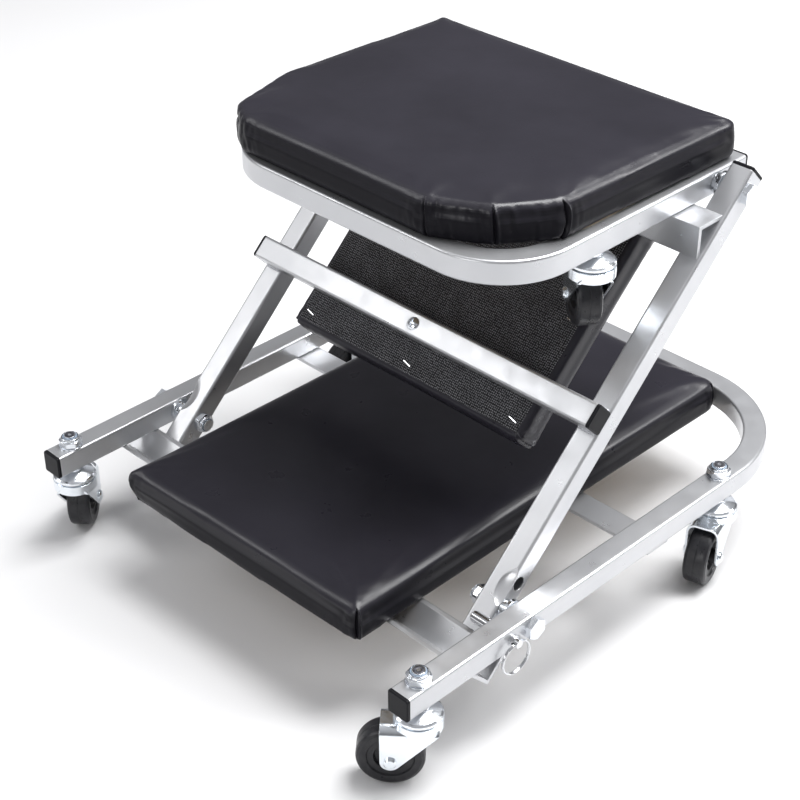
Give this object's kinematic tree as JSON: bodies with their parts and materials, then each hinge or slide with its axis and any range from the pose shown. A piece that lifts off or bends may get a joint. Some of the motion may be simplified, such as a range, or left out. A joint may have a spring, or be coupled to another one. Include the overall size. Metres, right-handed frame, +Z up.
{
  "type": "mechanics creeper",
  "caption": "Folding creeper and rolling seat: padded sections on square steel tube that fold from a flat bed into a raised seat, on swivel casters.",
  "frame": {"origin": "on the floor, under the middle of the box the creeper fills when it stands as a seat", "axes": "+Z up; +Y from the base tubes' open front ends to the rounded rear rail; +X towards the lock pin's side"},
  "size_m": [0.4696, 0.5081, 0.3753],
  "materials": {
    "frame_paint": "satin silver-grey paint",
    "cap_plastic": "black, moulded",
    "vinyl": "smooth black upholstery vinyl over foam",
    "plywood": "raw plywood",
    "backing_cloth": "black non-woven dust cloth",
    "staple_wire": "bright wire",
    "zinc": "bright zinc plate",
    "bearing_steel": "polished",
    "chrome_plate": "plated",
    "spring_steel": "drawn wire",
    "fork_zinc": "bright zinc plate with a bluish tint",
    "wheel_plastic": "black moulded plastic"
  },
  "bodies": {
    "base": {"base_frame": "frame_paint", "base_end_caps": "cap_plastic", "base_stop_angle": "frame_paint", "base_cross_strip": "frame_paint", "base_pad_board": "plywood", "base_pad_cushion": "vinyl", "base_pad_screws": "zinc", "base_caster_stems": "zinc", "base_caster_nuts": "zinc", "base_caster_washers": "zinc", "base_caster_balls": "bearing_steel", "base_pivot_bolts": "zinc", "base_pivot_nuts": "zinc", "base_pivot_spacers": "zinc", "lock_spring": "spring_steel"},
    "middle": {"middle_tube_right": "frame_paint", "middle_tube_left": "frame_paint", "middle_top_caps": "cap_plastic", "middle_bottom_caps": "cap_plastic", "crossbar": "frame_paint", "crossbar_caps": "cap_plastic", "seat_stop_angle": "frame_paint", "middle_pad_board": "plywood", "middle_pad_cushion": "vinyl", "middle_pad_backing": "backing_cloth", "middle_pad_staples": "staple_wire", "middle_pad_screw": "zinc", "seat_pivot_bolts": "zinc", "seat_pivot_nuts": "zinc", "seat_pivot_spacers": "zinc"},
    "seat": {"seat_frame": "frame_paint", "seat_end_caps": "cap_plastic", "seat_pad_board": "plywood", "seat_pad_cushion": "vinyl", "seat_pad_screws": "zinc", "seat_caster_stems": "zinc", "seat_caster_inserts": "zinc", "seat_caster_balls": "bearing_steel"},
    "lock_pin": {"lock_pin": "chrome_plate", "lock_collar": "chrome_plate"},
    "lock_ring": {"lock_pull_ring": "chrome_plate"},
    "fork_front_right": {"fork_front_right": "fork_zinc", "axle_front_right": "fork_zinc"},
    "wheel_front_right": {"wheel_front_right": "wheel_plastic"},
    "fork_front_left": {"fork_front_left": "fork_zinc", "axle_front_left": "fork_zinc"},
    "wheel_front_left": {"wheel_front_left": "wheel_plastic"},
    "fork_rear_right": {"fork_rear_right": "fork_zinc", "axle_rear_right": "fork_zinc"},
    "wheel_rear_right": {"wheel_rear_right": "wheel_plastic"},
    "fork_rear_left": {"fork_rear_left": "fork_zinc", "axle_rear_left": "fork_zinc"},
    "wheel_rear_left": {"wheel_rear_left": "wheel_plastic"},
    "fork_seat_right": {"fork_seat_right": "fork_zinc", "axle_seat_right": "fork_zinc"},
    "wheel_seat_right": {"wheel_seat_right": "wheel_plastic"},
    "fork_seat_left": {"fork_seat_left": "fork_zinc", "axle_seat_left": "fork_zinc"},
    "wheel_seat_left": {"wheel_seat_left": "wheel_plastic"}
  },
  "joints": [
    {"name": "base_pivot", "type": "hinge", "parent": "base", "child": "middle", "pos_m": [0.007, -0.1091, 0.082], "axis": [1, 0, 0], "range_deg": [0, 136.2]},
    {"name": "seat_pivot", "type": "hinge", "parent": "middle", "child": "seat", "pos_m": [0.007, 0.15196, 0.33235], "axis": [-1, 0, 0], "range_deg": [0, 136.2]},
    {"name": "lock_pin_slide", "type": "slide", "parent": "base", "child": "lock_pin", "axis": [1, 0, 0], "range_m": [0, 0.012], "stiffness_N_per_m": 400, "springref_m": -0.006, "deforming": ["lock_spring"]},
    {"name": "lock_ring_swing", "type": "hinge", "parent": "lock_pin", "child": "lock_ring", "pos_m": [0.226, -0.1306, 0.082], "axis": [0, -1, 0], "range_deg": [0, 100]},
    {"name": "swivel_front_right", "type": "hinge", "parent": "base", "child": "fork_front_right", "pos_m": [0.212, -0.2177, 0.06], "axis": [0, 0, 1], "continuous": true},
    {"name": "spin_front_right", "type": "hinge", "parent": "fork_front_right", "child": "wheel_front_right", "pos_m": [0.19714, -0.23108, 0.0254], "axis": [0.6691, -0.7431, 0], "continuous": true},
    {"name": "swivel_front_left", "type": "hinge", "parent": "base", "child": "fork_front_left", "pos_m": [-0.198, -0.2177, 0.06], "axis": [0, 0, 1], "continuous": true},
    {"name": "spin_front_left", "type": "hinge", "parent": "fork_front_left", "child": "wheel_front_left", "pos_m": [-0.21164, -0.20307, 0.0254], "axis": [-0.7314, -0.682, 0], "continuous": true},
    {"name": "swivel_rear_right", "type": "hinge", "parent": "base", "child": "fork_rear_right", "pos_m": [0.212, 0.129, 0.06], "axis": [0, 0, 1], "continuous": true},
    {"name": "spin_rear_right", "type": "hinge", "parent": "fork_rear_right", "child": "wheel_rear_right", "pos_m": [0.21818, 0.10998, 0.0254], "axis": [0.9511, 0.309, 0], "continuous": true},
    {"name": "swivel_rear_left", "type": "hinge", "parent": "base", "child": "fork_rear_left", "pos_m": [-0.198, 0.129, 0.06], "axis": [0, 0, 1], "continuous": true},
    {"name": "spin_rear_left", "type": "hinge", "parent": "fork_rear_left", "child": "wheel_rear_left", "pos_m": [-0.20318, 0.10968, 0.0254], "axis": [0.9659, -0.2588, 0], "continuous": true},
    {"name": "swivel_seat_right", "type": "hinge", "parent": "seat", "child": "fork_seat_right", "pos_m": [0.156, 0.018, 0.31035], "axis": [0, 0, 1], "continuous": true},
    {"name": "spin_seat_right", "type": "hinge", "parent": "fork_seat_right", "child": "wheel_seat_right", "pos_m": [0.14003, 0.03004, 0.27575], "axis": [-0.6018, -0.7986, 0], "continuous": true},
    {"name": "swivel_seat_left", "type": "hinge", "parent": "seat", "child": "fork_seat_left", "pos_m": [-0.142, 0.018, 0.31035], "axis": [0, 0, 1], "continuous": true},
    {"name": "spin_seat_left", "type": "hinge", "parent": "fork_seat_left", "child": "wheel_seat_left", "pos_m": [-0.16079, 0.02484, 0.27575], "axis": [-0.342, -0.9397, 0], "continuous": true}
  ]
}
